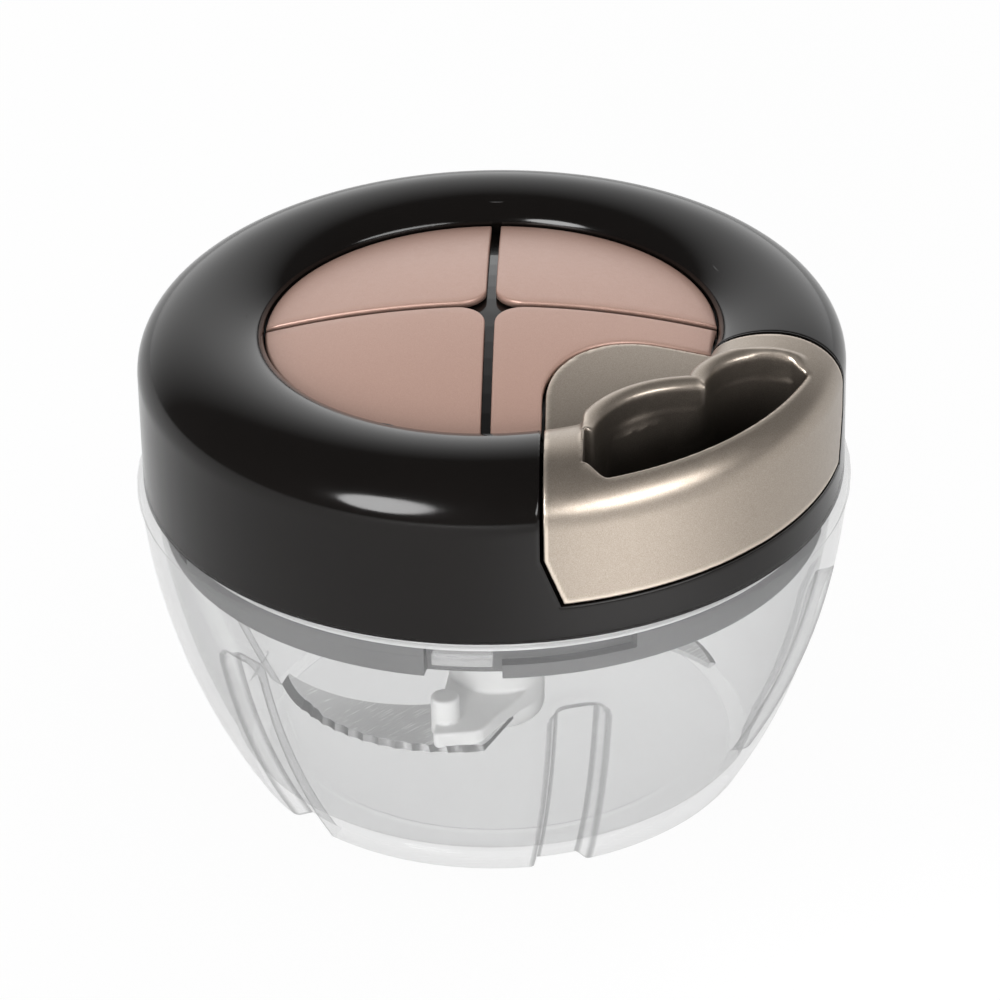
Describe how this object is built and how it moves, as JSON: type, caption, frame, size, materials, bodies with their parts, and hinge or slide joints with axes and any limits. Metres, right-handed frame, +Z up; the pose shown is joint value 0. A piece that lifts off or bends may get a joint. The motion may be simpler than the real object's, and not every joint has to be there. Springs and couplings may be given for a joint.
{
  "type": "pull-string food chopper",
  "caption": "Hand food chopper: clear fluted bowl with a bladed hub on a pin, under a round lid whose flush pull handle winds a sprung cord reel that spins the blades.",
  "frame": {"origin": "middle of the bowl's foot, on the surface it stands on", "axes": "+Z up along the blade axis, +X the way the handle is pulled out, +Y to the left of the pull"},
  "size_m": [0.122, 0.122, 0.0849],
  "materials": {
    "clear_bowl": "clear moulded plastic, polished",
    "black_lid": "satin gloss black",
    "rose_panel": "satin rose gold",
    "nickel_handle": "champagne nickel metallic",
    "grey_base": "grey moulded plastic",
    "white_plastic": "white moulded plastic",
    "reel_plastic": "natural moulded plastic",
    "blade_steel": "ground stainless steel",
    "steel": "turned steel",
    "spring_steel": "blued spring steel",
    "bronze": "sintered bronze",
    "seal_rubber": "translucent silicone",
    "cord": "braided nylon cord"
  },
  "bodies": {
    "bowl": {"bowl": "clear_bowl", "pivot_pin": "steel"},
    "blade_unit": {"blade_hub": "white_plastic", "lower_blade": "blade_steel", "upper_blade": "blade_steel"},
    "seal": {"seal_ring": "seal_rubber"},
    "lid": {"lid_housing": "black_lid", "panel_front": "rose_panel", "panel_left": "rose_panel", "panel_back": "rose_panel", "panel_right": "rose_panel", "lid_base": "grey_base", "base_screws": "steel", "shaft_bush": "bronze", "cord_eyelet": "steel", "mainspring": "spring_steel", "pull_cord": "cord"},
    "drive": {"drive_shaft": "steel", "drive_dog": "white_plastic", "shaft_clip": "spring_steel", "ratchet_wheel": "white_plastic"},
    "reel": {"cord_reel": "reel_plastic", "spring_cover": "grey_base", "cord_winding": "cord", "pawl_pins": "steel"},
    "pawl_a": {"clutch_pawl_a": "reel_plastic"},
    "pawl_b": {"clutch_pawl_b": "reel_plastic"},
    "handle": {"pull_handle": "nickel_handle", "cord_knot": "cord"}
  },
  "joints": [
    {"name": "blade_spin", "type": "hinge", "parent": "bowl", "child": "blade_unit", "pos_m": [0, 0, 0.01], "axis": [0, 0, 1], "range_deg": [0, 946]},
    {"name": "lid_lift", "type": "slide", "parent": "bowl", "child": "seal", "axis": [0, 0, 1], "range_m": [0, 0.1]},
    {"name": "lid_turn", "type": "hinge", "parent": "seal", "child": "lid", "pos_m": [0, 0, 0.05], "axis": [0, 0, 1], "range_deg": [-23, 0]},
    {"name": "handle_pull", "type": "slide", "parent": "lid", "child": "handle", "axis": [1, 0, 0], "range_m": [0, 0.4], "stiffness_N_per_m": 12, "springref_m": -0.15, "deforming": ["pull_cord", "mainspring"]},
    {"name": "reel_spin", "type": "hinge", "parent": "lid", "child": "reel", "pos_m": [0, 0, 0.065], "axis": [0, 0, 1], "range_deg": [0, 946]},
    {"name": "drive_spin", "type": "hinge", "parent": "lid", "child": "drive", "pos_m": [0, 0, 0.06], "axis": [0, 0, 1], "range_deg": [0, 946]},
    {"name": "pawl_a_swing", "type": "hinge", "parent": "reel", "child": "pawl_a", "pos_m": [0.01638, -0.01147, 0.06], "axis": [0, 0, 1], "range_deg": [-14, 0]},
    {"name": "pawl_b_swing", "type": "hinge", "parent": "reel", "child": "pawl_b", "pos_m": [-0.01638, 0.01147, 0.06], "axis": [0, 0, 1], "range_deg": [-14, 0]}
  ],
  "couplings": [
    {"joint": "reel_spin", "follows": "handle_pull", "rad_per_m": 41.152},
    {"joint": "drive_spin", "follows": "handle_pull", "rad_per_m": 41.152},
    {"joint": "blade_spin", "follows": "handle_pull", "rad_per_m": 41.152},
    {"joint": "pawl_b_swing", "follows": "pawl_a_swing", "ratio": 1}
  ]
}
